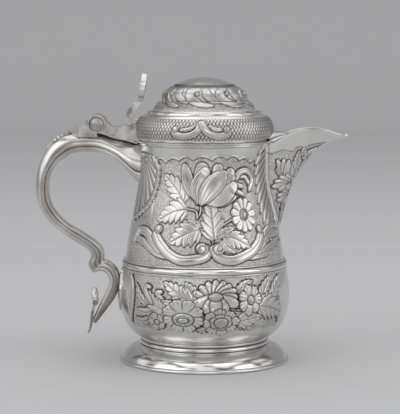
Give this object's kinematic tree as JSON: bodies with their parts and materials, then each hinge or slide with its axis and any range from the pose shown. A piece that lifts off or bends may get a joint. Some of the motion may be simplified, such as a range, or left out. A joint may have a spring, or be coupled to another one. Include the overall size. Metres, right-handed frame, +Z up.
{
  "type": "tankard",
  "caption": "Footed baluster tankard with a hinged domed lid, scroll thumbpiece, S-scroll handle and beak spout, chased with flowers and scrolls.",
  "frame": {"origin": "centre of the foot ring's underside, on the surface it stands on", "axes": "+Z up along the body's axis, +X towards the spout, -X towards the handle, the hinge pin along Y"},
  "size_m": [0.2203, 0.1206, 0.2035],
  "materials": {
    "chased_silver": "chased and matted silver, tarnish in the hollows",
    "plain_silver": "polished silver with fine wear",
    "cast_silver": "cast silver, darker in the recesses"
  },
  "bodies": {
    "tankard": {"body_belly": "chased_silver", "body_neck": "chased_silver", "girdle_band": "plain_silver", "mouth_band": "plain_silver", "foot_collar": "plain_silver", "foot_skirt": "plain_silver", "foot_wire": "plain_silver", "spout_shell": "chased_silver", "spout_lip": "plain_silver", "handle_back": "plain_silver", "handle_inner_strip": "plain_silver", "handle_end_cap": "plain_silver", "handle_socket_plate": "plain_silver", "handle_lower_scroll": "cast_silver", "belly_patch": "plain_silver", "terminal_shield": "cast_silver", "terminal_roll": "cast_silver", "hinge_strap": "cast_silver", "hinge_tail": "cast_silver", "hinge_pin": "plain_silver", "hinge_pin_heads": "plain_silver"},
    "lid": {"hinge_leaf": "cast_silver", "lid_shell": "chased_silver", "lid_crown": "plain_silver", "lid_reeds": "plain_silver", "lid_flange": "plain_silver", "lid_bezel": "plain_silver", "lid_spout_hood": "plain_silver", "thumb_stem": "cast_silver", "thumb_scrolls": "cast_silver", "thumb_stay": "cast_silver"}
  },
  "joints": [
    {"name": "lid_hinge", "type": "hinge", "parent": "tankard", "child": "lid", "pos_m": [-0.0753, 0, 0.1679], "axis": [0, -1, 0], "range_deg": [0, 105]}
  ]
}
